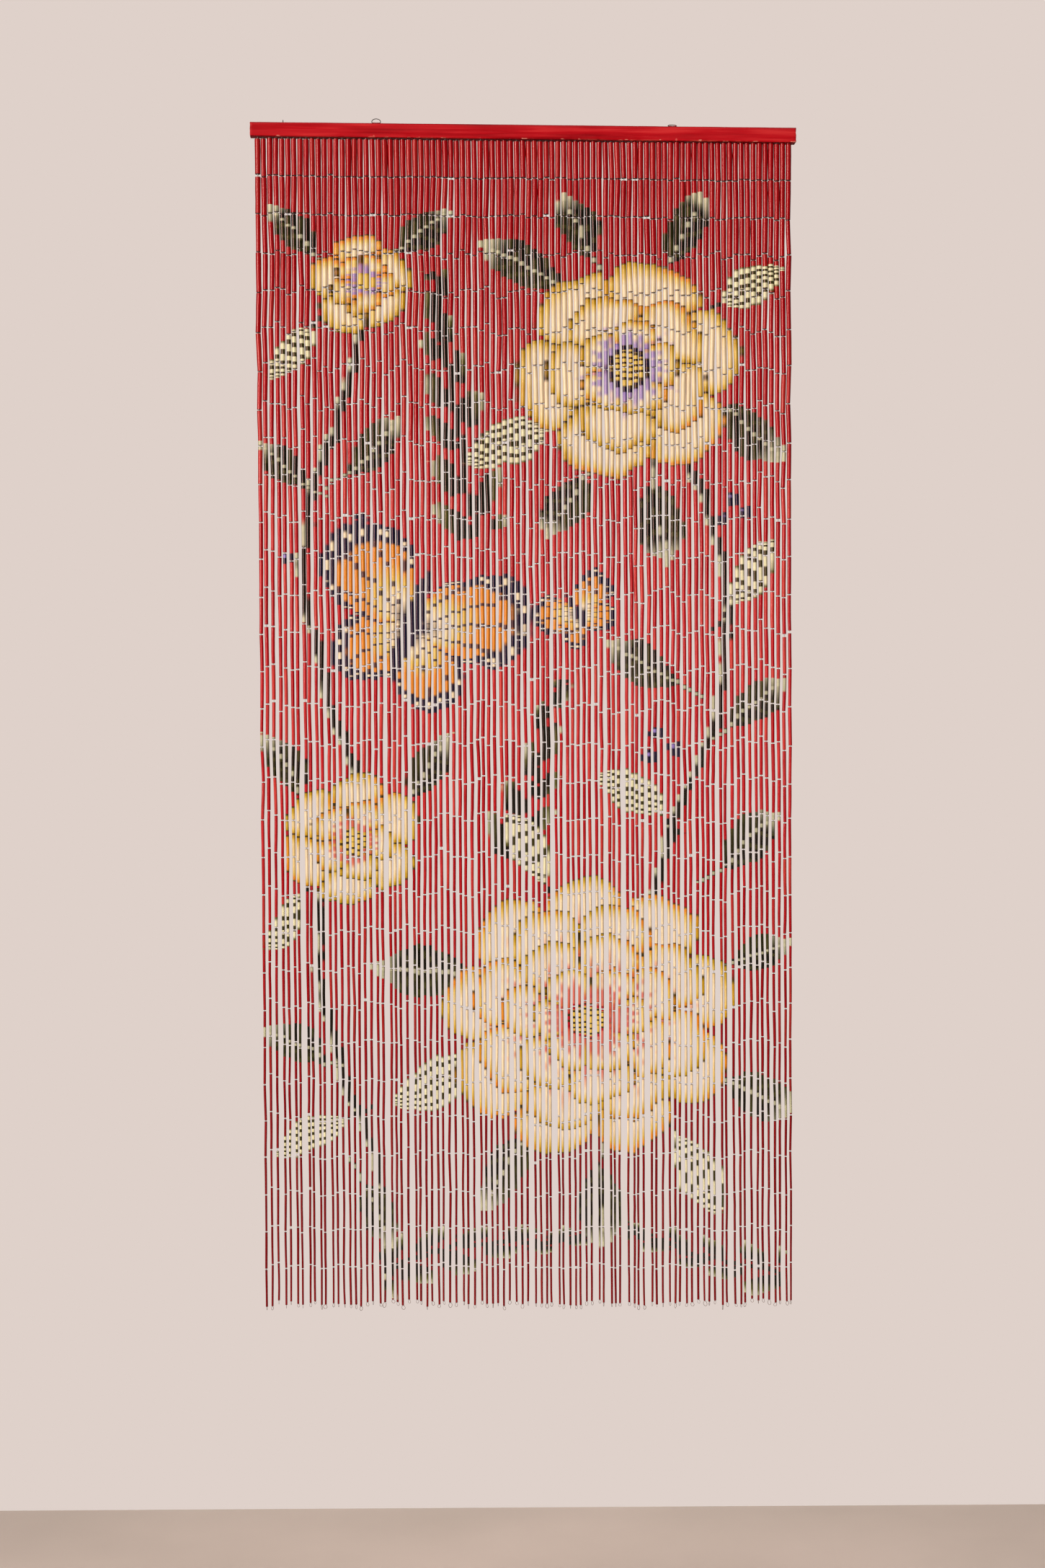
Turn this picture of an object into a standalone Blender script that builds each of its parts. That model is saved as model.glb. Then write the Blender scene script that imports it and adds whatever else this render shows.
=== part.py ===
"""Bamboo bead blind: strands of bamboo tubes on wire, hung from a painted wooden header bar.

Metres, +Z up. The origin is the centre of the header bar's back face, which lies
against the wall. +Y points into the wall, +X runs along the bar to the right.
"""
import math
import random

import bmesh
import bpy
from mathutils import Matrix

# Header bar
BAR_LENGTH = 0.900
BAR_DEPTH = 0.018
BAR_HEIGHT = 0.024
BAR_EDGE = 0.0008

# Strands
STRAND_COUNT = 90
STRAND_FIELD = 0.876
STRAND_Y = -0.009
STRAND_LENGTH = 1.924
LENGTH_TREND = 0.016
LENGTH_SPREAD = 0.0055
TOP_RADIUS = 0.0039
RADIUS_DECAY = 0.89
STRAND_STEPS = 8
STRAIGHT_START = 0.005

# Lean, bow and sway of a strand, each the largest sideways reach at its full size
LEAN_REACH = 0.0026
BOW_REACH = 0.0008
SWAY_REACH = 0.0004
WAVE_REACH = 0.0012
DEPTH_REACH = 0.0024
STRAND_SEED = 410

# End loop of a strand's wire, as a thin tail
TAIL_RADIUS = 0.0009
TAIL_LENGTH = 0.0115

# Strip under the bar that the strand roots are fused into
STRIP_LENGTH = 0.886
STRIP_DEPTH = 0.0086
STRIP_HEIGHT = 0.002
SEAT_GAP = 0.0003

# Hanging loops of bent wire on top of the bar
LOOP_X = 0.244
LOOP_Y = -0.0152
LOOP_WIDTH = 0.0144
LOOP_HEIGHT = 0.0072
LOOP_CORNER = 0.0018
LOOP_WIRE = 0.0013
LOOP_BACK_TILT = math.radians(58.0)

# Nail stub in the top of the bar
NAIL_X = -0.396
NAIL_Y = -0.0135
NAIL_RADIUS = 0.0007
NAIL_HEIGHT = 0.0042

BAR_TOP = BAR_HEIGHT / 2
BAR_BOTTOM = -BAR_HEIGHT / 2


def clear_scene():
    for old in list(bpy.data.objects):
        bpy.data.objects.remove(old, do_unlink=True)


def new_collection(name):
    collection = bpy.data.collections.new(name)
    bpy.context.scene.collection.children.link(collection)
    return collection


def make_material(name, colour, roughness, metallic=0.0):
    material = bpy.data.materials.new(name)
    material.use_nodes = True
    shader = material.node_tree.nodes["Principled BSDF"]
    shader.inputs["Base Color"].default_value = (*colour, 1.0)
    shader.inputs["Roughness"].default_value = roughness
    shader.inputs["Metallic"].default_value = metallic
    return material


def mesh_object(name, shape, material, collection):
    """An object from a bmesh, which is freed."""
    mesh = bpy.data.meshes.new(name)
    shape.to_mesh(mesh)
    shape.free()
    if material:
        mesh.materials.append(material)
    obj = bpy.data.objects.new(name, mesh)
    collection.objects.link(obj)
    return obj


def box(length, depth, height, centre):
    """A bmesh box of the given size."""
    shape = bmesh.new()
    place = Matrix.Translation(centre) @ Matrix.Diagonal((length, depth, height, 1.0))
    bmesh.ops.create_cube(shape, size=1.0, matrix=place)
    return shape


def wire_curve(name, runs, bevel_depth, cyclic, sides_level):
    """A curve object with one POLY spline for each run of (point, radius) pairs."""
    curve = bpy.data.curves.new(name, "CURVE")
    curve.dimensions = "3D"
    curve.bevel_depth = bevel_depth
    curve.bevel_resolution = sides_level
    curve.use_fill_caps = not cyclic
    for run in runs:
        spline = curve.splines.new("POLY")
        spline.points.add(len(run) - 1)
        spline.use_cyclic_u = cyclic
        for target, (point, radius) in zip(spline.points, run):
            target.co = (*point, 1.0)
            target.radius = radius
    return bpy.data.objects.new(name, curve)


def curve_to_mesh_object(curve_object, name, material, collection):
    """The curve's evaluated mesh as a closed mesh object. The curve is removed."""
    collection.objects.link(curve_object)
    graph = bpy.context.evaluated_depsgraph_get()
    mesh = bpy.data.meshes.new_from_object(curve_object.evaluated_get(graph))
    mesh.name = name
    weld = bmesh.new()
    weld.from_mesh(mesh)
    bmesh.ops.remove_doubles(weld, verts=weld.verts, dist=1e-6)
    weld.to_mesh(mesh)
    weld.free()
    mesh.materials.clear()
    if material:
        mesh.materials.append(material)
    obj = bpy.data.objects.new(name, mesh)
    obj.matrix_world = curve_object.matrix_world.copy()
    collection.objects.link(obj)
    bpy.data.objects.remove(curve_object, do_unlink=True)
    return obj


def strand_x(index):
    """Where a strand leaves the bar."""
    return (index / (STRAND_COUNT - 1) - 0.5) * STRAND_FIELD


def strand_traits(index):
    """The random traits of one strand, always drawn in the same order."""
    draw = random.Random(STRAND_SEED + index)
    names = ("lean", "bow", "sway", "depth", "length", "girth", "phase")
    return {name: draw.uniform(-1.0, 1.0) for name in names}


def strand_length(index, traits):
    """From the bar's underside to the lower end of the last tube."""
    trend = LENGTH_TREND * (index / (STRAND_COUNT - 1) - 0.5)
    return STRAND_LENGTH + trend + LENGTH_SPREAD * traits["length"]


def strand_point(index, traits, t):
    """A point of the strand's middle line, with t from 0 at the bar to 1 at its end."""
    across = index / STRAND_COUNT
    side = LEAN_REACH * traits["lean"] * t
    side += WAVE_REACH * math.sin(2 * math.pi * (2.2 * across + 0.15)) * t * t
    side += BOW_REACH * traits["bow"] * math.sin(math.pi * t)
    side += SWAY_REACH * math.sin(2 * math.pi * (1.5 * t + traits["phase"])) * t
    back = DEPTH_REACH * traits["depth"] * math.sin(0.5 * math.pi * t)
    drop = strand_length(index, traits) * t
    return (strand_x(index) + side, STRAND_Y + back, BAR_BOTTOM - drop)


def strand_radius(traits, t):
    """The tubes are cut from one cane, so they grow thinner downwards."""
    return TOP_RADIUS * (1.0 + 0.05 * traits["girth"]) * math.exp(-RADIUS_DECAY * t)


def strand_run(index):
    """The points and radii of one strand, from inside the strip to the end of its wire."""
    traits = strand_traits(index)
    top_radius = strand_radius(traits, 0.0)
    root = (strand_x(index), STRAND_Y, BAR_BOTTOM - SEAT_GAP - STRIP_HEIGHT / 2)
    start = (strand_x(index), STRAND_Y, BAR_BOTTOM - STRAIGHT_START)
    run = [(root, top_radius), (start, top_radius)]
    for step in range(1, STRAND_STEPS + 1):
        t = step / STRAND_STEPS
        run.append((strand_point(index, traits, t), strand_radius(traits, t)))
    x, y, z = run[-1][0]
    run.append(((x, y, z - TAIL_RADIUS), TAIL_RADIUS))
    run.append(((x, y, z - TAIL_LENGTH), TAIL_RADIUS))
    return run


def build_bar(collection):
    paint = make_material("red_painted_wood", (0.50, 0.012, 0.018), 0.42)
    shape = box(BAR_LENGTH, BAR_DEPTH, BAR_HEIGHT, (0.0, -BAR_DEPTH / 2, 0.0))
    bar = mesh_object("header_bar", shape, paint, collection)
    edge = bar.modifiers.new("edge", "BEVEL")
    edge.width = BAR_EDGE
    edge.segments = 2
    edge.limit_method = "ANGLE"
    return bar


def build_strands(collection, cutters):
    paint = make_material("painted_bamboo", (0.48, 0.02, 0.03), 0.35)
    runs = [strand_run(index) for index in range(STRAND_COUNT)]
    curve = wire_curve("strand_curve", runs, 1.0, False, 0)
    bundle = curve_to_mesh_object(curve, "strand_bundle", None, cutters)
    bundle.hide_render = True
    bundle.display_type = "WIRE"
    centre = (0.0, STRAND_Y, BAR_BOTTOM - SEAT_GAP - STRIP_HEIGHT / 2)
    shape = box(STRIP_LENGTH, STRIP_DEPTH, STRIP_HEIGHT, centre)
    strands = mesh_object("strands", shape, paint, collection)
    join = strands.modifiers.new("join", "BOOLEAN")
    join.operation = "UNION"
    join.object = bundle
    return strands


def loop_outline(tilt):
    """The wire's middle line: a flat base run, two tight corners and a round arch."""
    half = LOOP_WIDTH / 2
    shoulder = LOOP_CORNER
    outline = []
    for step in range(4):
        turn = math.radians(-90.0 + 30.0 * step)
        reach = half - LOOP_CORNER + LOOP_CORNER * math.cos(turn)
        outline.append((reach, shoulder + LOOP_CORNER * math.sin(turn)))
    for step in range(1, 12):
        turn = math.pi * step / 12
        outline.append((half * math.cos(turn), shoulder + (LOOP_HEIGHT - shoulder) * math.sin(turn)))
    for step in range(4):
        turn = math.radians(180.0 + 30.0 * step)
        reach = -half + LOOP_CORNER + LOOP_CORNER * math.cos(turn)
        outline.append((reach, shoulder + LOOP_CORNER * math.sin(turn)))
    return [(x, rise * math.sin(tilt), rise * math.cos(tilt)) for x, rise in outline]


def build_hanger_loop(name, centre_x, tilt, wire, collection):
    base = BAR_TOP + SEAT_GAP + LOOP_WIRE / 2
    run = [((centre_x + x, LOOP_Y + y, base + z), 1.0) for x, y, z in loop_outline(tilt)]
    curve = wire_curve(name + "_curve", [run], LOOP_WIRE / 2, True, 2)
    loop = curve_to_mesh_object(curve, name, wire, collection)
    loop.data.shade_smooth()
    return loop


def build_nail(wire, collection):
    shape = bmesh.new()
    centre = (NAIL_X, NAIL_Y, BAR_TOP + SEAT_GAP + NAIL_HEIGHT / 2)
    bmesh.ops.create_cone(
        shape,
        cap_ends=True,
        segments=12,
        radius1=NAIL_RADIUS,
        radius2=NAIL_RADIUS * 0.8,
        depth=NAIL_HEIGHT,
        matrix=Matrix.Translation(centre),
    )
    nail = mesh_object("nail_stub", shape, wire, collection)
    nail.data.shade_smooth()
    nail.data.set_sharp_from_angle(angle=math.radians(40.0))
    return nail


clear_scene()
blind = new_collection("bamboo_bead_blind")
cutters = new_collection("cutters")
build_bar(blind)
build_strands(blind, cutters)
dark_wire = make_material("dark_iron_wire", (0.05, 0.045, 0.04), 0.5, 1.0)
build_hanger_loop("hanger_loop_left", -LOOP_X, 0.0, dark_wire, blind)
build_hanger_loop("hanger_loop_right", LOOP_X, LOOP_BACK_TILT, dark_wire, blind)
build_nail(dark_wire, blind)
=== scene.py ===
import math
import random

import bmesh
import bpy
import numpy as np
from mathutils import Matrix, Vector, noise


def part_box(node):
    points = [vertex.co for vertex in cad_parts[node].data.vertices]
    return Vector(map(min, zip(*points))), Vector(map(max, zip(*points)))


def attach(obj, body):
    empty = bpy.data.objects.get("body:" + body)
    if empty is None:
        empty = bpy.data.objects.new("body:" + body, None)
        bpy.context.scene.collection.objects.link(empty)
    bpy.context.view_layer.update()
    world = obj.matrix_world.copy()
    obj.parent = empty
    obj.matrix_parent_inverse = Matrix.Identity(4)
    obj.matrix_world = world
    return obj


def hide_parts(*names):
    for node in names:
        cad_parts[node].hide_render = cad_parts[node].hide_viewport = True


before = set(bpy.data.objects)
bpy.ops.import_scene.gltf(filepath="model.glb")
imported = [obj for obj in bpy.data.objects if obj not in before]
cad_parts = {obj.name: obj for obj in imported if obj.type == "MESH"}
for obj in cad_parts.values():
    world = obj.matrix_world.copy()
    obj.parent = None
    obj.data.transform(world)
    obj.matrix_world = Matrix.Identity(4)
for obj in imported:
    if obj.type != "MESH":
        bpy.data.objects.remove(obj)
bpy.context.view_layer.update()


# Camera
# It stands 3.6 m in front of the blind, a little to the left and at half its height, and
# looks slightly to the right and down, as in the photograph.
CAMERA_SPOT = (-0.2227, -3.6118, -0.9911)
CAMERA_TURN = math.radians(-3.382)
CAMERA_TILT = math.radians(90.0 - 1.277)
CAMERA_ROLL = math.radians(-0.329)

camera_data = bpy.data.cameras.new("photo_camera")
camera_data.lens = 50.0
camera_data.sensor_width = 36.0
camera = bpy.data.objects.new("photo_camera", camera_data)
bpy.context.collection.objects.link(camera)
camera.matrix_world = (
    Matrix.Translation(CAMERA_SPOT)
    @ Matrix.Rotation(CAMERA_TURN, 4, "Z")
    @ Matrix.Rotation(CAMERA_TILT, 4, "X")
    @ Matrix.Rotation(CAMERA_ROLL, 4, "Z")
)
bpy.context.scene.camera = camera


# Header bar
# A sawn softwood batten with its arrises just knocked off, brushed with one thick coat of
# red paint. The brush left streaks along it, and the lower arris is chipped and worn.
BAR_ARRIS = 0.0011
BAR_TAPER = 0.0016
BAR_CUTS_ALONG = 220
BAR_CUTS_ACROSS = 5
SAW_MARK_DEPTH = 0.0012
SAW_MARK_ZONE = 0.0006
FACE_WANDER = 0.0002
WANDER_SEED = 5
CHIP_ZONE = 0.0012
CHIP_DEPTH = 0.0030
CHIP_LEVEL = 0.34
bar_low, bar_high = (Vector(corner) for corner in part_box("header_bar"))

# Pale marks along the low arris: how far across, half length and the height that it reaches
BAR_MARKS = (
    (-0.253, 0.0060, 0.0028),
    (-0.248, 0.0024, 0.0050),
    (0.158, 0.0050, 0.0016),
    (0.176, 0.0030, 0.0020),
    (0.190, 0.0070, 0.0015),
    (0.206, 0.0026, 0.0022),
    (0.250, 0.0016, 0.0048),
)


def rgb(red, green, blue):
    """A colour as it looks on a screen, from 0 to 255, turned into Blender's own numbers."""
    shares = (value / 255.0 for value in (red, green, blue))
    return (*(v / 12.92 if v <= 0.04045 else ((v + 0.055) / 1.055) ** 2.4 for v in shares), 1.0)


class Finish:
    """A material in the making, with short names for the nodes that the finishes share."""

    def __init__(self, name, roughness, metallic=0.0):
        self.material = bpy.data.materials.new(name)
        self.material.use_nodes = True
        self.tree = self.material.node_tree
        self.shader = self.tree.nodes["Principled BSDF"]
        self.shader.inputs["Roughness"].default_value = roughness
        self.shader.inputs["Metallic"].default_value = metallic

    def feed(self, socket, value):
        if isinstance(value, bpy.types.NodeSocket):
            self.tree.links.new(value, socket)
        else:
            socket.default_value = value

    def outputs(self, kind, inputs, **settings):
        """The outputs of a new node. Its inputs are given by number or name."""
        node = self.tree.nodes.new("ShaderNode" + kind)
        for name, value in settings.items():
            setattr(node, name, value)
        for key, value in inputs.items():
            self.feed(node.inputs[key], value)
        return node.outputs

    def maths(self, operation, *values):
        return self.outputs("Math", dict(enumerate(values)), operation=operation)[0]

    def times(self, *values):
        return self.maths("MULTIPLY", *values)

    def times_plus(self, *values):
        """The first value times the second, and the third added."""
        return self.maths("MULTIPLY_ADD", *values)

    def minus(self, *values):
        return self.maths("SUBTRACT", *values)

    def sine(self, value):
        return self.maths("SINE", value)

    def size_of(self, value):
        return self.maths("ABSOLUTE", value)

    def square_sum(self, x, z):
        return self.times_plus(x, x, self.times(z, z))

    def vectors(self, operation, *values):
        return self.outputs("VectorMath", dict(enumerate(values)), operation=operation)

    def blend(self, share, under, over):
        """The colour over laid on the colour under, as far as share says."""
        return self.outputs("Mix", {0: share, 6: under, 7: over}, data_type="RGBA")[2]

    def choose(self, share, under, over):
        """Like blend, for places."""
        return self.outputs("Mix", {0: share, 4: under, 5: over}, data_type="VECTOR")[1]

    def fade(self, value, low, high, start=0.0, end=1.0):
        """Turns low..high softly into start..end, and goes no further."""
        inputs = dict(enumerate((value, low, high, start, end)))
        return self.outputs("MapRange", inputs, interpolation_type="SMOOTHSTEP")[0]

    def ramp(self, value, stops):
        """A colour for each value, from a row of (value, colour) stops."""
        node = self.tree.nodes.new("ShaderNodeValToRGB")
        elements = node.color_ramp.elements
        while len(elements) < len(stops):
            elements.new(1.0)
        for element, (spot, colour) in zip(elements, stops):
            element.position = spot
            element.color = colour
        self.feed(node.inputs[0], value)
        return node.outputs[0]

    def parts(self, place):
        return self.outputs("SeparateXYZ", {0: place})

    def whole(self, x, z):
        """A place on the front plane from its two parts."""
        return self.outputs("CombineXYZ", {0: x, 2: z})[0]

    def object_place(self):
        return self.outputs("TexCoord", {})["Object"]

    def attribute(self, name):
        return self.outputs("Attribute", {}, attribute_name=name)

    def noise(self, place, stretch, detail=3.0, roughness=0.55):
        """Noise whose grain has stretch[0] grains to the metre across, and so on."""
        return self.outputs("TexNoise", {
            "Scale": 1.0, "Detail": detail, "Roughness": roughness,
            "Vector": self.vectors("MULTIPLY", place, stretch)[0],
        })

    def bump(self, height, distance):
        self.wear("Normal", self.outputs("Bump", {"Distance": distance, "Height": height})[0])

    def wear(self, socket, value):
        self.feed(self.shader.inputs[socket], value)


def to_mesh(shape, name):
    """Turns a finished bmesh shape into a mesh."""
    mesh = bpy.data.meshes.new(name)
    shape.to_mesh(mesh)
    shape.free()
    return mesh


def place_piece(mesh, finish):
    """A finished piece as an object at the origin."""
    mesh.materials.append(finish)
    piece = bpy.data.objects.new(mesh.name, mesh)
    bpy.context.collection.objects.link(piece)
    return piece


def make_bar_paint():
    paint = Finish("brushed_red_paint", 0.32)
    paint.shader.inputs["Specular IOR Level"].default_value = 0.32
    paint.shader.inputs["Specular Tint"].default_value = rgb(255, 190, 188)
    place = paint.object_place()
    up = paint.parts(place)["Z"]
    streaks = paint.noise(place, (7.0, 90.0, 210.0), 4.0)[0]
    strokes = paint.noise(place, (6.0, 40.0, 95.0), 2.0)[0]
    brushed = paint.times_plus(strokes, 0.65, paint.times(streaks, 0.35))
    coat = paint.ramp(brushed, (
        (0.34, rgb(148, 2, 14)),
        (0.45, rgb(180, 8, 20)),
        (0.54, rgb(196, 14, 26)),
        (0.64, rgb(216, 42, 44)),
    ))
    blotches = paint.noise(place, (22.0, 60.0, 80.0), 4.0)[0]
    low_arris = paint.fade(up, bar_low.z + 0.0026, bar_low.z + 0.0006)
    worn = paint.times(low_arris, paint.fade(blotches, 0.50, 0.64))
    coat = paint.blend(paint.times(worn, 0.6), coat, rgb(216, 84, 70))
    flecks = paint.noise(place, (75.0, 200.0, 200.0), 2.0)[0]
    near_low = paint.fade(up, bar_low.z + 0.010, bar_low.z + 0.001)
    bare = paint.fade(paint.times(flecks, near_low), 0.64, 0.68)
    coat = paint.blend(bare, coat, rgb(236, 140, 122))
    x = paint.parts(place)["X"]
    for across, half_length, reach in BAR_MARKS:
        side = paint.times_plus(x, 1.0 / half_length, -across / half_length)
        rise = paint.times_plus(up, 1.0 / reach, -bar_low.z / reach)
        out = paint.square_sum(side, rise)
        mark = paint.fade(paint.times_plus(blotches, 2.4, out), 2.2, 1.6)
        coat = paint.blend(paint.times(mark, 0.85), coat, rgb(226, 92, 82))
    # Painted shade: the top arris is painted darker, where it turns away from the light.
    top_arris_shade = paint.fade(up, bar_high.z - 0.0020, bar_high.z - 0.0004)
    coat = paint.blend(paint.times(top_arris_shade, 0.6), coat, rgb(112, 4, 14))
    paint.wear("Base Color", coat)
    paint.wear("Roughness", paint.fade(streaks, 0.3, 0.7, 0.26, 0.42))
    paint.bump(brushed, 0.0008)
    return paint.material


def runs_across(edge):
    """True for an edge over one of the batten's flat faces, from arris to arris."""
    run = edge.verts[0].co - edge.verts[1].co
    return abs(run.y) > 0.01 or abs(run.z) > 0.01


def make_batten():
    """The batten, divided finely enough for its faces and arrises to wander."""
    shape = bmesh.new()
    fill = Matrix.Diagonal((*(bar_high - bar_low), 1.0))
    bmesh.ops.create_cube(shape, size=1.0, matrix=Matrix.Translation((bar_high + bar_low) / 2) @ fill)
    bmesh.ops.bevel(
        shape, geom=list(shape.edges), offset=BAR_ARRIS, segments=3, profile=0.5,
        affect="EDGES", material=-1, clamp_overlap=True,
    )
    lengthwise = [e for e in shape.edges if abs(e.verts[0].co.x - e.verts[1].co.x) > 0.1]
    bmesh.ops.subdivide_edges(shape, edges=lengthwise, cuts=BAR_CUTS_ALONG, use_grid_fill=True)
    across = [edge for edge in shape.edges if runs_across(edge)]
    bmesh.ops.subdivide_edges(shape, edges=across, cuts=BAR_CUTS_ACROSS, use_grid_fill=True)
    noise.seed_set(WANDER_SEED)
    for vert in shape.verts:
        spot = vert.co.copy()
        wander = noise.noise_vector((spot.x * 22.0, spot.y * 60.0, spot.z * 60.0))
        vert.co += Vector((0.0, wander.y, wander.z)) * FACE_WANDER
        left_share = (bar_high.x - spot.x) / (bar_high.x - bar_low.x)
        low_share = (bar_high.z - spot.z) / (bar_high.z - bar_low.z)
        vert.co.z += BAR_TAPER * left_share * low_share
        if abs(spot.x) > bar_high.x - SAW_MARK_ZONE:
            saw = noise.noise((spot.y * 500.0, spot.z * 420.0, 3.0 * spot.x))
            vert.co.x -= math.copysign(SAW_MARK_DEPTH, spot.x) * max(0.0, saw + 0.1)
        on_low_arris = spot.z < bar_low.z + CHIP_ZONE and spot.y < bar_low.y + CHIP_ZONE
        chip = noise.noise((spot.x * 45.0, 7.0, 1.0)) - CHIP_LEVEL
        if on_low_arris and chip > 0.0:
            vert.co += Vector((0.0, CHIP_DEPTH, CHIP_DEPTH)) * chip
    mesh = to_mesh(shape, "batten")
    mesh.shade_smooth()
    mesh.set_sharp_from_angle(angle=math.radians(50.0))
    return mesh


batten = place_piece(make_batten(), make_bar_paint())
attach(batten, "root")
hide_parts("header_bar")


# Hanging loops
# The bar hangs by two loops of iron wire on its top. The left one stands up and the right one
# is folded back. The brush that painted the bar went over their feet, and over the middle of
# the one that is folded back.
LOOP_ACROSS = 0.244
LOOP_WIRE = 0.0012
LOOP_HALF_WIDTH = 0.0072
LOOP_RISE = 0.0066
LOOP_CORNER = 0.0015
LOOP_FOLD = math.radians(58.0)
WIRE_SEAM = 0.0002
MAP_CELL_ASPECT = 2.5
MAP_CELL_MARGIN = 0.04


def bend_wire(name, path, radius, sides):
    """Wire bent in the XZ plane along (x, z) points. Its OFBake map is the wire unrolled."""
    shape = bmesh.new()
    around = shape.verts.layers.float.new("around")
    along = shape.verts.layers.float.new("along")
    sideways = Vector((0.0, 1.0, 0.0))
    spots = [Vector((x, 0.0, z)) for x, z in path]
    before = None
    for step, spot in enumerate(spots):
        ahead = (spots[min(step + 1, len(spots) - 1)] - spots[max(step - 1, 0)]).normalized()
        facing = Matrix((sideways.cross(ahead), sideways, ahead)).transposed().to_4x4()
        place = Matrix.Translation(spot) @ facing
        ring = bmesh.ops.create_circle(shape, segments=sides, radius=radius, matrix=place)["verts"]
        for number, vert in enumerate(ring):
            vert[around] = number / sides
            vert[along] = 0.05 + 0.90 * step / (len(spots) - 1)
        edges = list({edge for vert in ring for edge in vert.link_edges})
        if before:
            bmesh.ops.bridge_loops(shape, edges=before + edges)
        before = edges
    bmesh.ops.holes_fill(shape, edges=[edge for edge in shape.edges if edge.is_boundary])
    bmesh.ops.recalc_face_normals(shape, faces=shape.faces)
    uv = shape.loops.layers.uv.new("OFBake")
    for face in shape.faces:
        face.smooth = True
        turns = [loop.vert[around] for loop in face.loops]
        wraps = max(turns) - min(turns) > 0.5
        cap = len({round(loop.vert[along], 4) for loop in face.loops}) == 1
        for loop, turn in zip(face.loops, turns):
            rise = loop.vert[along]
            if cap:
                angle = 2 * math.pi * turn
                middle = 0.022 if rise < 0.5 else 0.978
                loop[uv].uv = (0.5 + 0.3 * math.cos(angle), middle + 0.018 * math.sin(angle))
                loop.edge.smooth = False
            else:
                loop[uv].uv = (1.0 if wraps and turn < 0.25 else turn, rise)
    return to_mesh(shape, name)


def lay_copies(name, placed):
    """Joins copies of small shapes, each (shape, matrix), and gives each its cell of the map."""
    joined = bmesh.new()
    for source, _ in placed:
        joined.from_mesh(source)
    mesh = to_mesh(joined, name)
    rows = max(1, round(math.sqrt(len(placed) / MAP_CELL_ASPECT)))
    columns = math.ceil(len(placed) / rows)
    corners, flats = {}, {}
    for source in {source for source, _ in placed}:
        spots = np.empty(len(source.vertices) * 3)
        source.vertices.foreach_get("co", spots)
        corners[source] = spots.reshape(-1, 3)
        flat = np.empty(len(source.loops) * 2)
        source.uv_layers["OFBake"].data.foreach_get("uv", flat)
        flats[source] = MAP_CELL_MARGIN + (1.0 - 2 * MAP_CELL_MARGIN) * flat.reshape(-1, 2)
    laid, drawn = [], []
    for cell, (source, place) in enumerate(placed):
        turn = np.array(place.to_3x3())
        laid.append(corners[source] @ turn.T + np.array(place.translation))
        corner = np.array((cell % columns, cell // columns))
        drawn.append((corner + flats[source]) / (columns, rows))
    mesh.vertices.foreach_set("co", np.concatenate(laid).ravel())
    mesh.uv_layers["OFBake"].data.foreach_set("uv", np.concatenate(drawn).ravel())
    mesh.update()
    return mesh


def loop_path():
    """From under the loop's middle, round its two corners and over its flat arch."""
    foot = LOOP_HALF_WIDTH - LOOP_CORNER
    path = [(WIRE_SEAM, 0.0), (foot / 2, 0.0)]
    for step in range(5):
        turn = math.radians(-90.0 + 22.5 * step)
        path.append((foot + LOOP_CORNER * math.cos(turn), LOOP_CORNER * (1.0 + math.sin(turn))))
    for step in range(1, 24):
        turn = math.pi * step / 24
        rise = LOOP_CORNER + (LOOP_RISE - LOOP_CORNER) * math.sin(turn)
        path.append((LOOP_HALF_WIDTH * math.cos(turn), rise))
    return path + [(-x, z) for x, z in reversed(path[:7])]


def make_loop_wire():
    wire = Finish("painted_over_wire", 0.5, 0.6)
    place = wire.object_place()
    rust = wire.noise(place, (500.0, 500.0, 500.0))[0]
    bare = wire.ramp(rust, ((0.35, rgb(40, 28, 26)), (0.6, rgb(70, 54, 48)), (0.75, rgb(112, 92, 82))))
    x, _, z = wire.parts(place)
    off_middle = wire.size_of(wire.minus(wire.size_of(x), LOOP_ACROSS))
    ragged = wire.times_plus(rust, 0.0012, -0.0006)
    low = wire.fade(wire.maths("ADD", z, ragged), bar_high.z + 0.0043, bar_high.z + 0.0036)
    middle = wire.fade(wire.maths("ADD", off_middle, ragged), 0.0062, 0.0050)
    wire.wear("Base Color", wire.blend(wire.times(low, middle), bare, rgb(150, 10, 22)))
    wire.bump(rust, 0.0001)
    return wire.material


loop_wire = make_loop_wire()
loop_shape = bend_wire("loop_shape", loop_path(), LOOP_WIRE / 2, 10)
for side, fold in (("left", 0.0), ("right", LOOP_FOLD)):
    low, high = (Vector(corner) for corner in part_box(f"hanger_loop_{side}"))
    foot = Vector(((low.x + high.x) / 2, low.y + LOOP_WIRE / 2, low.z + LOOP_WIRE / 2))
    stand = Matrix.Translation(foot) @ Matrix.Rotation(-fold, 4, "X")
    loop = place_piece(lay_copies(f"hanging_wire_{side}", [(loop_shape, stand)]), loop_wire)
    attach(loop, "root")
    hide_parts(f"hanger_loop_{side}")


# Nail stub
# The end of a thin nail sticks out of the top of the bar near its left end. It is bare,
# rusty iron.
def make_nail_iron():
    iron = Finish("rusty_nail_iron", 0.6, 0.7)
    rust = iron.noise(iron.object_place(), (900.0, 900.0, 400.0))[0]
    iron.wear("Base Color", iron.ramp(rust, ((0.4, rgb(34, 24, 22)), (0.7, rgb(92, 62, 46)))))
    iron.bump(rust, 0.0001)
    return iron.material


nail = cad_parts["nail_stub"]
nail.data.materials.clear()
nail.data.materials.append(make_nail_iron())


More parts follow.
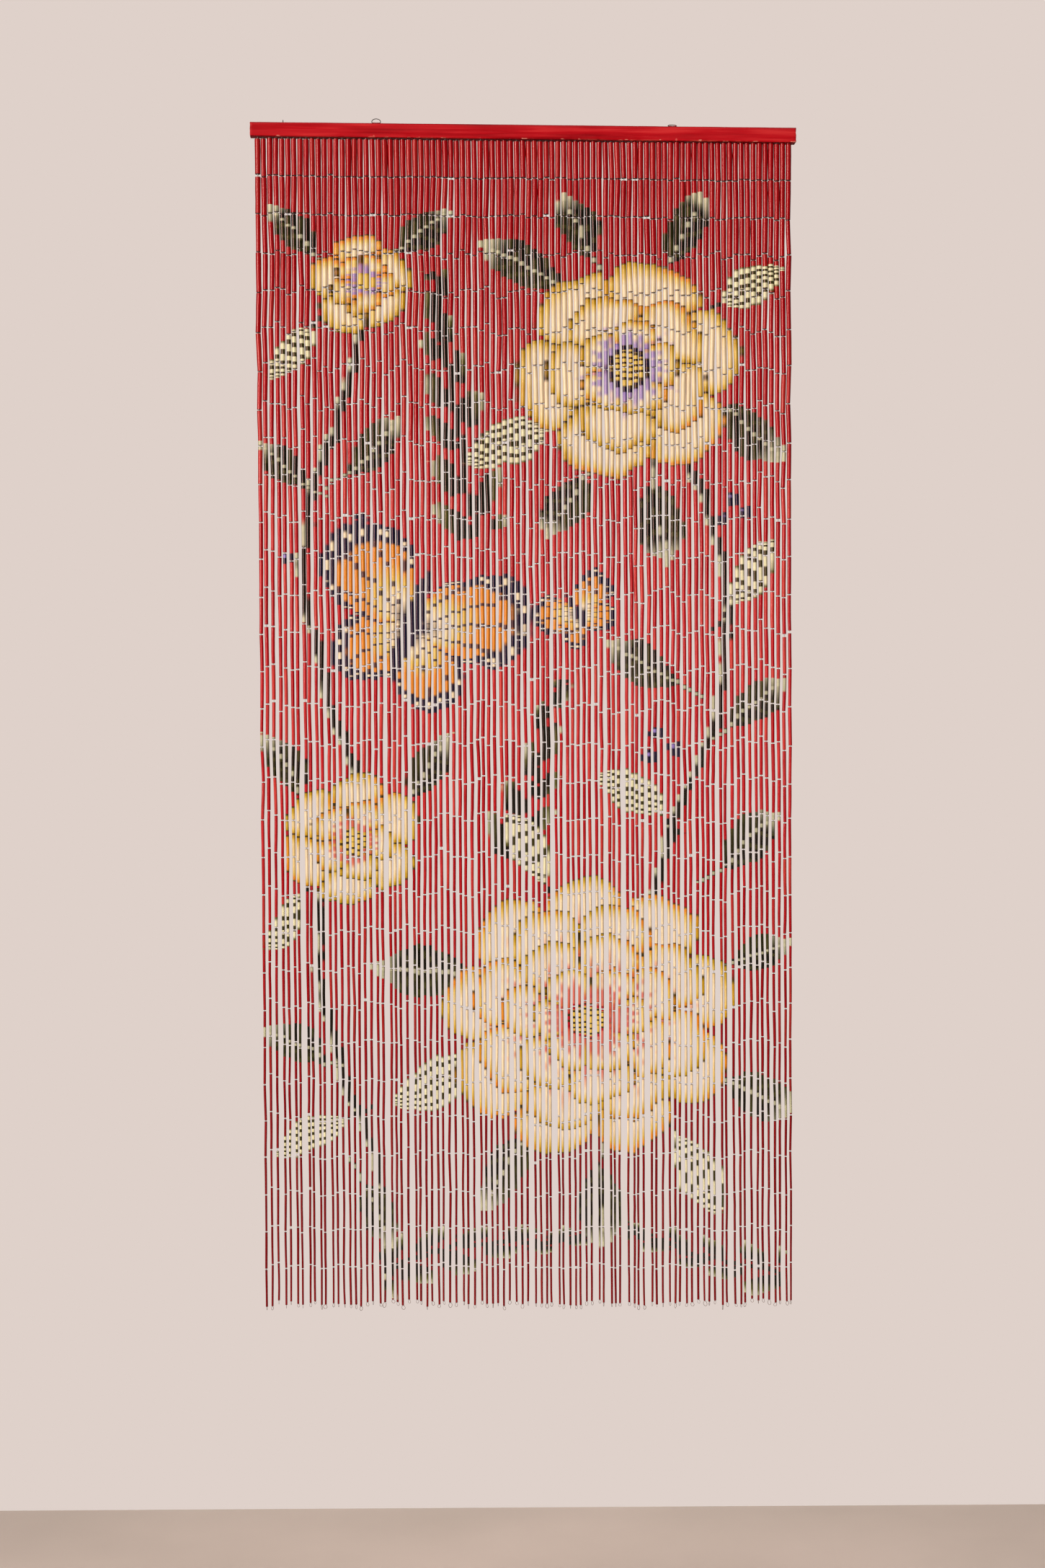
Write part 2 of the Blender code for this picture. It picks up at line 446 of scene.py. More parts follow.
# Bamboo tubes
# Ninety strands of thin cane, sawn into lengths of about 62 mm and hung on wire. The blind
# was sprayed glossy red as it hung, and a design was then painted over all its strands.
STRAND_COUNT = 90
STRAND_FIELD = 0.876
STRAND_Y = -0.009
STRAND_LENGTH = 1.924
LENGTH_TREND = 0.016
LENGTH_SPREAD = 0.0055
TOP_RADIUS = 0.0039
RADIUS_DECAY = 0.89
LEAN_REACH = 0.0026
BOW_REACH = 0.0008
SWAY_REACH = 0.0004
WAVE_REACH = 0.0012
WAVES_ACROSS = 2.2
WAVE_SHIFT = 0.15
SWAYS = 1.5
DEPTH_REACH = 0.0024
GIRTH_REACH = 0.05
STRAND_SEED = 410
TRAIT_NAMES = ("lean", "bow", "sway", "depth", "length", "girth", "phase")

# Tubes: how many, how evenly they are cut, how thick and crooked they are, and their bore
TUBES_EACH = 31
STRANDS_PER_BUNDLE = 5
TUBE_SIDES = 8
CUT_SEED = 7000
CUT_SPREADS = [0.018] * 2 + [0.06] * 8 + [0.036] * (TUBES_EACH - 10)
TUBE_FULLNESS = 1.11
TOP_SWELL = 0.12
CANE_SPREAD = 0.05
THINNEST, THICKEST = -0.10, 0.08
CROOKED_SPREAD = 0.09
CROOKED_GROWTH = 0.24
DESIGN_SLIP = 0.0017
TUBE_SHAPES = 12
SHAPE_SEED = 90
LEAST_CROOK = 0.05
CROOK_REACH = 0.45
TUBE_BORE = 0.5
TUBE_BORE_DEPTH = 0.05
TUBE_CLEARANCE = 0.00015

# Joints: how far they stray sideways, and the gaps between the tube ends
JOINT_WANDER = 0.0027
WANDER_LOSS = 0.8
JOINT_SLACK = 0.0003
TOP_GAP = 0.0003
TOP_GAP_REACH = 0.0016
JOINT_GAP = 0.0014
GAP_GROWTH = 0.0005
GAP_REACH = 0.0008
WIDE_GAP = 0.0026
WIDE_GAP_CHANCE = 0.03


class Strand:
    """One strand: the solid's own route, then the joints and tubes along it."""

    def __init__(self, index):
        route = random.Random(STRAND_SEED + index)
        self.traits = {name: route.uniform(-1.0, 1.0) for name in TRAIT_NAMES}
        self.index = index
        self.across = (index / (STRAND_COUNT - 1) - 0.5) * STRAND_FIELD
        trend = LENGTH_TREND * (index / (STRAND_COUNT - 1) - 0.5)
        self.length = STRAND_LENGTH + trend + LENGTH_SPREAD * self.traits["length"]
        self.draw = random.Random(CUT_SEED + index)

    def point(self, drop):
        """The middle of the strand, drop metres under the bar."""
        t = drop / self.length
        wave = math.sin(2 * math.pi * (WAVES_ACROSS * self.index / STRAND_COUNT + WAVE_SHIFT))
        side = LEAN_REACH * self.traits["lean"] * t
        side += WAVE_REACH * wave * t * t
        side += BOW_REACH * self.traits["bow"] * math.sin(math.pi * t)
        side += SWAY_REACH * math.sin(2 * math.pi * (SWAYS * t + self.traits["phase"])) * t
        back = DEPTH_REACH * self.traits["depth"] * math.sin(0.5 * math.pi * t)
        return Vector((self.across + side, STRAND_Y + back, bar_low.z - drop))

    def radius(self, drop):
        girth = 1.0 + GIRTH_REACH * self.traits["girth"]
        return TOP_RADIUS * girth * math.exp(-RADIUS_DECAY * drop / self.length)

    def cut(self):
        """Saws the cane: the joints' places, the gaps at them and the radius of each tube."""
        draw = self.draw
        shares = [1.0 + draw.gauss(0.0, spread) for spread in CUT_SPREADS]
        drops = [self.length * sum(shares[:step]) / sum(shares) for step in range(TUBES_EACH + 1)]
        self.gaps = [TOP_GAP + TOP_GAP_REACH * draw.random() ** 1.5]
        for drop in drops[1:]:
            slip = GAP_REACH * draw.random() + WIDE_GAP * (draw.random() < WIDE_GAP_CHANCE)
            self.gaps.append(JOINT_GAP + GAP_GROWTH * drop / self.length + slip)
        self.joints = []
        for step, drop in enumerate(drops):
            reach = JOINT_WANDER * min(step, 1) * (1.0 - WANDER_LOSS * drop / self.length)
            together = noise.noise((self.index * 0.28, step * 0.9, 5.0)) * reach
            slack = Vector((together + draw.gauss(0.0, JOINT_SLACK), draw.gauss(0.0, JOINT_SLACK), 0.0))
            self.joints.append(self.point(drop) + slack)
        self.radii = []
        for upper, lower in zip(drops, drops[1:]):
            middle = (upper + lower) / 2
            cane = TUBE_FULLNESS + TOP_SWELL * (1.0 - middle / self.length)
            cane += max(THINNEST, min(THICKEST, draw.gauss(0.0, CANE_SPREAD)))
            self.radii.append(self.radius(middle) * cane)

    def make_room(self, neighbour):
        """Moves this strand's joints clear of the strand on its left."""
        others = list(reversed(neighbour.joints))
        levels = [joint.z for joint in others]
        for step, joint in enumerate(self.joints):
            x = np.interp(joint.z, levels, [other.x for other in others])
            y = np.interp(joint.z, levels, [other.y for other in others])
            thickest = max(neighbour.radii[max(step - 1, 0):step + 2])
            room = thickest + max(self.radii[max(step - 1, 0):step + 1]) + TUBE_CLEARANCE
            depth = min(abs(joint.y - y), room)
            joint.x = max(joint.x, x + math.sqrt(room ** 2 - depth ** 2))

    def tubes(self):
        """Each tube's lower and upper end, radius, turn, shape and paint traits."""
        draw = self.draw
        for step, radius in enumerate(self.radii):
            upper, lower = self.joints[step], self.joints[step + 1]
            run = (lower - upper).normalized()
            top_gap = self.gaps[0] if step == 0 else self.gaps[step] / 2
            low_gap = 0.0 if step == TUBES_EACH - 1 else self.gaps[step + 1] / 2
            crooked = abs(draw.gauss(0.0, CROOKED_SPREAD + CROOKED_GROWTH * step / TUBES_EACH))
            yield {
                "top": upper + run * top_gap,
                "bottom": lower - run * low_gap,
                "radius": radius,
                "turn": draw.uniform(0.0, 2 * math.pi),
                "pick": min(TUBE_SHAPES - 1, int(crooked * TUBE_SHAPES)),
                "paint": (self.across, draw.gauss(0.0, DESIGN_SLIP), draw.random()),
            }


strands = [Strand(index) for index in range(STRAND_COUNT)]
for strand in strands:
    strand.cut()
for left, right in zip(strands, strands[1:]):
    right.make_room(left)
cut_tubes = [list(strand.tubes()) for strand in strands]


def make_tube_shape(pick):
    """One tube, 1 high and of radius 1, turned from its section. Later picks are crookeder."""
    draw = random.Random(SHAPE_SEED + pick)
    crook = LEAST_CROOK + CROOK_REACH * (pick / (TUBE_SHAPES - 1)) ** 1.5
    single, double = crook * draw.uniform(0.6, 1.0), crook * draw.uniform(-0.5, 0.5)
    shape = bmesh.new()
    along = shape.verts.layers.float.new("along")
    section = (
        (TUBE_BORE, 1.0 - TUBE_BORE_DEPTH, 0.03),
        (TUBE_BORE, 1.0, 0.06),
        (1.0, 1.0, 0.09),
        (draw.uniform(0.96, 1.04), 2 / 3, 0.09 + 0.82 / 3),
        (draw.uniform(0.94, 1.02), 1 / 3, 0.09 + 1.64 / 3),
        (draw.uniform(0.93, 0.99), 0.0, 0.91),
        (TUBE_BORE, 0.0, 0.94),
        (TUBE_BORE, TUBE_BORE_DEPTH, 0.97),
    )
    points = []
    for reach, height, share in section:
        point = shape.verts.new((reach, 0.0, height))
        point[along] = share
        points.append(point)
    edges = [shape.edges.new(pair) for pair in zip(points, points[1:])]
    bmesh.ops.spin(
        shape, geom=points + edges, cent=(0, 0, 0), axis=(0, 0, 1), dvec=(0, 0, 0),
        angle=2 * math.pi, steps=TUBE_SIDES, use_merge=True, use_duplicate=False,
    )
    bmesh.ops.remove_doubles(shape, verts=shape.verts, dist=1e-4)
    bmesh.ops.holes_fill(shape, edges=[edge for edge in shape.edges if edge.is_boundary])
    bmesh.ops.recalc_face_normals(shape, faces=shape.faces)
    uv = shape.loops.layers.uv.new("OFBake")
    step = 2 * math.pi / TUBE_SIDES
    for face in shape.faces:
        face.smooth = True
        middle = face.calc_center_median()
        sector = math.floor((math.atan2(middle.y, middle.x) % (2 * math.pi)) / step)
        for loop in face.loops:
            spot = loop.vert.co
            if len(face.verts) > 4:
                base = 0.015 if middle.z > 0.5 else 0.985
                loop[uv].uv = (0.5 + 0.6 * spot.x, base + 0.026 * spot.y)
            else:
                turn = math.atan2(spot.y, spot.x) % (2 * math.pi)
                if turn < (sector - 0.5) * step:
                    turn += 2 * math.pi
                loop[uv].uv = (turn / (2 * math.pi), loop.vert[along])
    for edge in shape.edges:
        edge.smooth = edge.calc_face_angle(0.0) < math.radians(60.0)
    for vert in shape.verts:
        rise = min(1.0, max(0.0, vert.co.z))
        vert.co.x += single * math.sin(math.pi * rise)
        vert.co.y += double * math.sin(2 * math.pi * rise)
    return to_mesh(shape, f"tube_shape_{pick}")


tube_shapes = [make_tube_shape(pick) for pick in range(TUBE_SHAPES)]


def laid_between(tube):
    """The matrix that lays a shape of height 1 and radius 1 between the tube's ends."""
    rise = tube["top"] - tube["bottom"]
    upright = rise.to_track_quat("Z", "Y").to_matrix().to_4x4()
    turn = Matrix.Rotation(tube["turn"], 4, "Z")
    size = Matrix.Diagonal((tube["radius"], tube["radius"], rise.length, 1.0))
    return Matrix.Translation(tube["bottom"]) @ upright @ turn @ size


def make_bundle(number):
    """The tubes of a few neighbouring strands as one mesh."""
    first = number * STRANDS_PER_BUNDLE
    tubes = [tube for strand in cut_tubes[first:first + STRANDS_PER_BUNDLE] for tube in strand]
    placed = [(tube_shapes[tube["pick"]], laid_between(tube)) for tube in tubes]
    mesh = lay_copies(f"tubes_{number + 1:02d}", placed)
    painted = np.repeat([tube["paint"] for tube in tubes], len(mesh.vertices) // len(tubes), axis=0)
    attribute = mesh.attributes.new("paint_traits", "FLOAT_VECTOR", "POINT")
    attribute.data.foreach_set("vector", painted.ravel())
    return mesh


# The design's own colours and its motifs, in metres on the blind: across from its middle,
# and down from the bar's underside. A motif's turn is in degrees, anticlockwise.
TOP_RED = rgb(160, 0, 10)
FOOT_RED = rgb(108, 4, 10)
CREAM = rgb(250, 222, 180)
PEACH = rgb(246, 206, 162)
YELLOW = rgb(232, 190, 84)
GOLD = rgb(198, 152, 28)
ORANGE = rgb(234, 138, 36)
DARK_OLIVE = rgb(66, 50, 10)
LILAC = rgb(148, 124, 194)
NAVY = rgb(22, 22, 48)
PINK = rgb(216, 84, 80)
DEEP_PINK = rgb(190, 30, 44)
SAGE = rgb(202, 195, 158)
OLIVE = rgb(96, 92, 40)
BLACK_GREEN = rgb(18, 20, 10)

# Leaves: middle across, down, turn, half length, half width, and 1 for a pale one
LEAVES = (
    (-0.005, 0.205, 150, 0.076, 0.036, 0),
    (0.085, 0.135, 115, 0.062, 0.032, 0),
    (0.265, 0.140, 62, 0.064, 0.032, 0),
    (0.378, 0.235, 30, 0.064, 0.034, 1),
    (0.378, 0.480, 322, 0.070, 0.036, 0),
    (-0.035, 0.500, 204, 0.080, 0.038, 1),
    (0.065, 0.605, 236, 0.070, 0.035, 0),
    (0.222, 0.628, 276, 0.074, 0.038, 0),
    (-0.385, 0.150, 140, 0.056, 0.028, 0),
    (-0.165, 0.150, 40, 0.052, 0.026, 0),
    (-0.385, 0.350, 230, 0.058, 0.029, 1),
    (-0.400, 0.530, 142, 0.056, 0.028, 0),
    (-0.255, 0.500, 44, 0.062, 0.030, 0),
    (0.375, 0.715, 58, 0.068, 0.032, 1),
    (0.190, 0.860, 150, 0.070, 0.033, 0),
    (0.385, 0.925, 34, 0.062, 0.032, 0),
    (0.175, 1.075, 142, 0.066, 0.032, 1),
    (0.372, 1.150, 40, 0.070, 0.034, 0),
    (-0.405, 1.020, 122, 0.060, 0.029, 0),
    (-0.165, 1.030, 54, 0.068, 0.032, 0),
    (-0.405, 1.285, 236, 0.058, 0.028, 1),
    (-0.180, 1.365, 172, 0.086, 0.040, 0),
    (-0.155, 1.555, 204, 0.086, 0.039, 1),
    (-0.045, 1.705, 238, 0.080, 0.038, 0),
    (0.120, 1.765, 268, 0.072, 0.038, 0),
    (0.280, 1.712, 302, 0.080, 0.039, 1),
    (0.388, 1.585, 330, 0.068, 0.036, 0),
    (0.390, 1.345, 24, 0.058, 0.031, 0),
    (0.000, 1.165, 114, 0.064, 0.032, 1),
    (-0.390, 1.480, 150, 0.060, 0.029, 0),
    (-0.365, 1.640, 206, 0.066, 0.031, 1),
    (-0.255, 1.770, 298, 0.066, 0.031, 0),
)

# Climbing stems: middle across, from down, to down, swing, waves to the metre, shift
STEMS = (
    (0.268, 0.520, 1.290, 0.066, 0.95, 0.02),
    (-0.318, 0.250, 1.180, 0.050, 1.05, 0.50),
    (-0.292, 1.150, 1.880, 0.056, 1.00, 0.10),
)

# Sprigs of small leaves: foot across, foot down, lean, length, half width, pairs of leaves
SPRIGS = (
    (-0.085, 0.645, 99, 0.440, 0.064, 6),
    (-0.030, 1.180, 74, 0.300, 0.052, 4),
    (-0.250, 1.860, 9, 0.360, 0.050, 5),
    (0.420, 1.885, 163, 0.280, 0.048, 4),
)

# Berries: across, down
BERRIES = (
    (0.340, 0.585),
    (0.368, 0.612),
    (0.330, 0.622),
    (0.215, 0.980),
    (0.240, 1.008),
    (0.205, 1.018),
    (-0.270, 0.620),
    (-0.245, 0.645),
    (-0.395, 0.690),
)
BERRY_RADIUS = 0.0125
GLEAM_SHIFT = 0.0035
PETAL_DEPTH = 0.24


def motif_place(paint, place, across, down, turn, length, width, mark=0.0):
    """The place as a motif sees it: its middle at zero, its half sizes at one, its mark in Y."""
    return paint.outputs("Mapping", {
        "Location": (across, -mark, bar_low.z - down),
        "Rotation": (0.0, -math.radians(turn), 0.0),
        "Scale": (length, 1.0, width),
        "Vector": place,
    }, vector_type="TEXTURE")[0]


def paint_leaves(paint, under, place):
    """Pointed leaves on stalks: dark ones with a pale tip and midrib, and pale striped ones."""
    best, spot = None, None
    for leaf in LEAVES:
        seen = motif_place(paint, place, *leaf)
        x, _, z = paint.parts(seen)
        blade = paint.times_plus(x, paint.times(x, -1.0), 1.0)
        past_stalk = paint.size_of(paint.maths("ADD", x, 0.35))
        stalk = paint.maths("MINIMUM", paint.times_plus(past_stalk, -4.0, 5.4), 0.13)
        inside = paint.minus(paint.maths("MAXIMUM", blade, stalk), paint.size_of(z))
        if best is None:
            best, spot = inside, seen
        else:
            spot = paint.choose(paint.maths("GREATER_THAN", inside, best), spot, seen)
            best = paint.maths("MAXIMUM", best, inside)
    x, pale, z = paint.parts(spot)
    off_rib = paint.size_of(z)
    slanted = paint.times_plus(off_rib, -7.0, paint.times(x, 15.0))
    veins = paint.fade(paint.sine(slanted), 0.2, 0.9)
    dark = paint.blend(paint.fade(z, 0.0, 0.35), BLACK_GREEN, rgb(40, 40, 14))
    dark = paint.blend(paint.times(veins, 0.35), dark, OLIVE)
    dark = paint.blend(paint.fade(x, 0.36, 0.90), dark, SAGE)
    dark = paint.blend(paint.times(paint.fade(off_rib, 0.09, 0.04), 0.8), dark, SAGE)
    half = paint.maths("MAXIMUM", paint.minus(1.0, paint.times(x, x)), 0.02)
    outward = paint.maths("DIVIDE", off_rib, half)
    bands = paint.sine(paint.times_plus(outward, 15.0, -1.2))
    bands = paint.times(paint.fade(bands, 0.0, 0.5), paint.fade(x, -1.0, -0.7))
    light = paint.blend(bands, rgb(238, 226, 180), rgb(62, 58, 24))
    light = paint.blend(paint.fade(outward, 0.84, 0.96), light, OLIVE)
    light = paint.blend(paint.fade(x, -0.92, -1.05), light, BLACK_GREEN)
    return paint.blend(paint.fade(best, 0.0, 0.05), under, paint.blend(pale, dark, light))


def paint_sprigs(paint, under, place):
    """Thin stems with pairs of small leaves that grow shorter towards the tip."""
    for across, down, lean, length, width, pairs in SPRIGS:
        foot = motif_place(paint, place, across, down, lean, length, width)
        x, _, z = paint.parts(foot)
        off_stem = paint.size_of(z)
        side = paint.times(paint.maths("GREATER_THAN", z, 0.0), 0.5)
        shifted = paint.times_plus(off_stem, -0.75, paint.times_plus(x, pairs, side))
        cell = paint.size_of(paint.minus(paint.maths("FRACT", shifted), 0.5))
        reach = paint.fade(x, 0.15, 1.0, 1.0, 0.35)
        outward = paint.maths("DIVIDE", off_stem, reach)
        belly = paint.sine(paint.times(paint.maths("MINIMUM", outward, 1.0), math.pi))
        leaf = paint.minus(paint.times(belly, 0.38), cell)
        leaf = paint.maths("MAXIMUM", paint.fade(leaf, 0.0, 0.05), paint.fade(off_stem, 0.10, 0.07))
        past_foot, before_tip = paint.maths("GREATER_THAN", x, 0.0), paint.maths("LESS_THAN", x, 1.0)
        within = paint.times(past_foot, before_tip)
        colour = paint.ramp(outward, (
            (0.05, BLACK_GREEN), (0.50, BLACK_GREEN), (0.72, OLIVE), (0.90, SAGE),
        ))
        under = paint.blend(paint.times(leaf, within), under, colour)
    return under


def paint_stems(paint, under, place):
    """Knotty stems that climb in waves, pale along their left side."""
    x, _, z = paint.parts(place)
    knots = paint.times_plus(paint.sine(paint.times(z, 95.0)), 0.0016, 0.0094)
    for across, start, end, swing, waves, shift in STEMS:
        angle = paint.times_plus(z, 2 * math.pi * waves, 2 * math.pi * shift)
        middle = paint.times_plus(paint.sine(angle), swing, across)
        off = paint.maths("DIVIDE", paint.minus(x, middle), knots)
        here = paint.fade(paint.size_of(off), 1.0, 0.85)
        above_end = paint.fade(z, bar_low.z - end, bar_low.z - end + 0.01)
        below_start = paint.fade(z, bar_low.z - start, bar_low.z - start - 0.01)
        here = paint.times(here, paint.times(above_end, below_start))
        colour = paint.blend(paint.fade(off, -0.65, -0.25), SAGE, BLACK_GREEN)
        under = paint.blend(here, under, colour)
    return under


def paint_berries(paint, under, place):
    """Round navy berries, each with a pale gleam at its upper left."""
    nearest, gleam = 1.0, 1.0
    for across, down in BERRIES:
        spot = Vector((across, 0.0, bar_low.z - down))
        nearest = paint.maths("MINIMUM", nearest, paint.vectors("DISTANCE", place, spot)["Value"])
        spot += Vector((-GLEAM_SHIFT, 0.0, GLEAM_SHIFT))
        gleam = paint.maths("MINIMUM", gleam, paint.vectors("DISTANCE", place, spot)["Value"])
    colour = paint.blend(paint.fade(gleam, 0.0048, 0.0020), NAVY, LILAC)
    return paint.blend(paint.fade(nearest, BERRY_RADIUS, BERRY_RADIUS - 0.0015), under, colour)


def around(paint, place, spot, turn=0.0):
    """A place's distance from a motif's middle, in metres, and its angle there."""
    x, _, z = paint.parts(motif_place(paint, place, *spot, turn, 1.0, 0.95))
    out = paint.maths("SQRT", paint.square_sum(x, z))
    return out, paint.maths("ARCTAN2", z, x)


def paint_petals(paint, under, polar, gold, reach, petals, throat, tint, shift, sweep):
    """A ring of petals. Each lies over the next one's edge, and is tinted near its throat."""
    out = paint.times(polar[0], 1.0 / reach)
    angle = paint.times_plus(polar[1], petals / (2 * math.pi), 20.0 + shift)
    share = paint.maths("FRACT", angle)
    lobe = paint.maths("POWER", paint.sine(paint.times(share, math.pi)), 0.45)
    edge = paint.maths("DIVIDE", out, paint.times_plus(lobe, PETAL_DEPTH, 1.0 - PETAL_DEPTH))
    width = 2 * math.pi / petals
    from_tip = paint.minus(1.0, edge)
    over_side = paint.times(paint.times(share, out), width)
    under_side = paint.times_plus(share, -0.8 * width, 0.8 * width)
    under_side = paint.times_plus(under_side, out, 0.045)
    rim = paint.maths("MINIMUM", from_tip, paint.maths("MINIMUM", over_side, under_side))
    rim = paint.times(rim, sweep * (reach / 0.2) ** 0.7)
    colour = paint.blend(paint.fade(rim, 0.30, 0.50), CREAM, PEACH)
    colour = paint.blend(paint.fade(rim, 0.160, 0.050), colour, YELLOW)
    colour = paint.blend(paint.fade(rim, 0.075, 0.030), colour, gold)
    colour = paint.blend(paint.fade(rim, 0.026, 0.008), colour, DARK_OLIVE)
    hairs = paint.sine(paint.times(share, 2 * math.pi * 4.0))
    ragged = paint.times_plus(hairs, 0.10, throat)
    deep = paint.fade(paint.minus(edge, ragged), 0.10, -0.12)
    colour = paint.blend(paint.times(deep, 0.85), colour, tint)
    return paint.blend(paint.fade(from_tip, 0.0, 0.012), under, colour)


def paint_eye(paint, under, place, spot, reach, stops, dotted=0.0):
    """The round middle of a flower. dotted is how many dots lie across it."""
    x, _, z = paint.parts(motif_place(paint, place, *spot, 0.0, reach, reach))
    inside = paint.minus(1.0, paint.square_sum(x, z))
    colour = paint.ramp(inside, stops)
    if dotted:
        rows = paint.sine(paint.times(x, dotted * math.pi))
        lines = paint.sine(paint.times(z, dotted * math.pi))
        dots = paint.fade(paint.times(rows, lines), 0.15, 0.45)
        colour = paint.blend(dots, colour, DARK_OLIVE)
    return paint.blend(paint.fade(inside, 0.0, 0.10), under, colour)


# Butterflies: middle, turn and reach. Wings of half of one: the way each points in degrees,
# its share of the reach and half its spread
BUTTERFLIES = (
    ((-0.190, 0.800), -24.0, 0.200),
    ((0.090, 0.780), 32.0, 0.078),
)
WINGS = (
    (-46.0, 0.74, 48.0),
    (30.0, 1.00, 46.0),
)


def paint_butterfly(paint, under, place, spot, turn, full_reach):
    """Two pairs of veined wings with a spotted dark border, mirrored over a dark body."""
    x, _, z = paint.parts(motif_place(paint, place, *spot, turn, full_reach, full_reach))
    x = paint.size_of(x)
    out = paint.maths("SQRT", paint.square_sum(x, z))
    angle = paint.maths("ARCTAN2", z, x)
    veins = paint.fade(paint.sine(paint.times(angle, 19.0)), 0.80, 0.95)
    pearls = paint.fade(paint.sine(paint.times(angle, 38.0)), 0.1, 0.4)
    for points, reach, spread in WINGS:
        bend = math.pi / 2 / math.radians(spread)
        across = paint.times_plus(angle, bend, -math.radians(points) * bend)
        across = paint.maths("MINIMUM", paint.size_of(across), math.pi / 2)
        outline = paint.maths("POWER", paint.maths("COSINE", across), 0.42)
        edge = paint.maths("DIVIDE", out, paint.times_plus(outline, reach, 0.001))
        inside = paint.minus(1.0, edge)
        colour = paint.ramp(inside, (
            (0.17, NAVY), (0.20, ORANGE), (0.42, ORANGE), (0.60, YELLOW), (0.74, CREAM), (0.90, NAVY),
        ))
        colour = paint.blend(paint.times(veins, 0.9), colour, NAVY)
        ring = paint.times(paint.fade(inside, 0.05, 0.075), paint.fade(inside, 0.13, 0.105))
        colour = paint.blend(paint.times(ring, pearls), colour, CREAM)
        under = paint.blend(paint.fade(inside, 0.0, 0.02), under, colour)
    body_x, body_z = paint.times(x, 13.0), paint.times(z, 2.1)
    oval = paint.square_sum(body_x, body_z)
    return paint.blend(paint.fade(oval, 1.0, 0.8), under, NAVY)


# Flowers: middle, colour of the throats, rings of petals (reach, petals, throat, shift,
# sweep of the rim's colours), then the eye's reach, colour stops and dots
FLOWERS = (
    (
        (-0.270, 0.235), LILAC,
        ((0.088, 5, 0.45, 0.2, 1.0), (0.054, 5, 0.50, 0.7, 1.0)),
        0.016, ((0.0, GOLD), (0.5, YELLOW)), 0.0,
    ),
    (
        (0.170, 0.375), LILAC,
        ((0.192, 6, 0.40, 0.3, 1.0), (0.140, 5, 0.50, 0.9, 1.1), (0.088, 5, 0.70, 0.4, 1.2)),
        0.040, ((0.0, NAVY), (0.35, NAVY), (0.45, YELLOW)), 7.0,
    ),
    (
        (-0.292, 1.150), PINK,
        ((0.118, 6, 0.40, 0.1, 1.0), (0.072, 5, 0.55, 0.6, 1.1)),
        0.024, ((0.0, GOLD), (0.5, YELLOW)), 5.0,
    ),
    (
        (0.100, 1.450), PINK,
        (
            (0.252, 9, 0.62, 0.2, 0.9), (0.205, 8, 0.64, 0.9, 1.0), (0.152, 7, 0.66, 0.1, 1.1),
            (0.100, 6, 0.70, 0.5, 1.3),
        ),
        0.034, ((0.0, DEEP_PINK), (0.3, DEEP_PINK), (0.4, YELLOW)), 7.0,
    ),
)


def make_bamboo_paint():
    paint = Finish("painted_bamboo", 0.3)
    paint.shader.inputs["Specular IOR Level"].default_value = 0.5
    paint.shader.inputs["Specular Tint"].default_value = rgb(255, 194, 186)
    seen = paint.object_place()
    height = paint.parts(seen)["Z"]
    strand_at, slip, chance = paint.parts(paint.attribute("paint_traits")["Vector"])
    place = paint.whole(strand_at, paint.maths("ADD", height, slip))
    unsteady = paint.noise(place, (9.0, 9.0, 9.0), 2.0)["Color"]
    moved = paint.vectors("MULTIPLY_ADD", unsteady, (0.046, 0.0, 0.046), (-0.023, 0.0, -0.023))
    place = paint.vectors("ADD", place, moved[0])[0]

    coat = paint.ramp(chance, (
        (0.00, rgb(176, 10, 20)),
        (0.35, rgb(192, 22, 30)),
        (0.70, rgb(204, 42, 44)),
        (0.90, rgb(210, 60, 52)),
        (1.00, rgb(188, 28, 38)),
    ))
    coat = paint.blend(paint.fade(height, -0.80, -0.10, 0.0, 0.80), coat, TOP_RED)
    coat = paint.blend(paint.fade(height, -1.00, -1.80, 0.0, 0.80), coat, FOOT_RED)
    coat = paint_stems(paint, coat, place)
    coat = paint_sprigs(paint, coat, place)
    coat = paint_leaves(paint, coat, place)
    coat = paint_berries(paint, coat, place)
    patches = paint.noise(place, (7.0, 7.0, 7.0), 1.0)[0]
    gold = paint.blend(paint.fade(patches, 0.45, 0.62), GOLD, ORANGE)
    for spot, tint, rings, eye, stops, dots in FLOWERS:
        polar = around(paint, place, spot)
        for reach, petals, throat, shift, sweep in rings:
            coat = paint_petals(paint, coat, polar, gold, reach, petals, throat, tint, shift, sweep)
        coat = paint_eye(paint, coat, place, spot, eye, stops, dots)
    for spot, turn, reach in BUTTERFLIES:
        coat = paint_butterfly(paint, coat, place, spot, turn, reach)

    fibres = paint.noise(seen, (600.0, 600.0, 14.0), 1.0)[0]
    clouds = paint.noise(seen, (90.0, 90.0, 30.0), 2.0)[0]
    grain = paint.fade(fibres, 0.3, 0.7, 0.92, 1.05)
    uneven = paint.times(grain, paint.fade(clouds, 0.3, 0.7, 0.92, 1.05))
    coat = paint.outputs("VectorMath", {0: coat, "Scale": uneven}, operation="SCALE")[0]
    # Painted shade: each tube's side darkens just before both its ends, where the joints fall into
    # shade.
    from_middle = paint.size_of(paint.minus(paint.attribute("along")["Fac"], 0.5))
    end_shade = paint.times(paint.fade(from_middle, 0.385, 0.408), 0.35)
    coat = paint.blend(end_shade, coat, rgb(52, 14, 12))
    coat = paint.blend(paint.fade(from_middle, 0.411, 0.416), coat, rgb(110, 52, 40))
    # Painted shade: the bore inside each tube end is painted near black.
    coat = paint.blend(paint.fade(from_middle, 0.436, 0.445), coat, rgb(24, 12, 8))
    paint.wear("Base Color", coat)
    paint.wear("Roughness", paint.fade(clouds, 0.3, 0.7, 0.17, 0.25))
    paint.bump(fibres, 0.000015)
    return paint.material


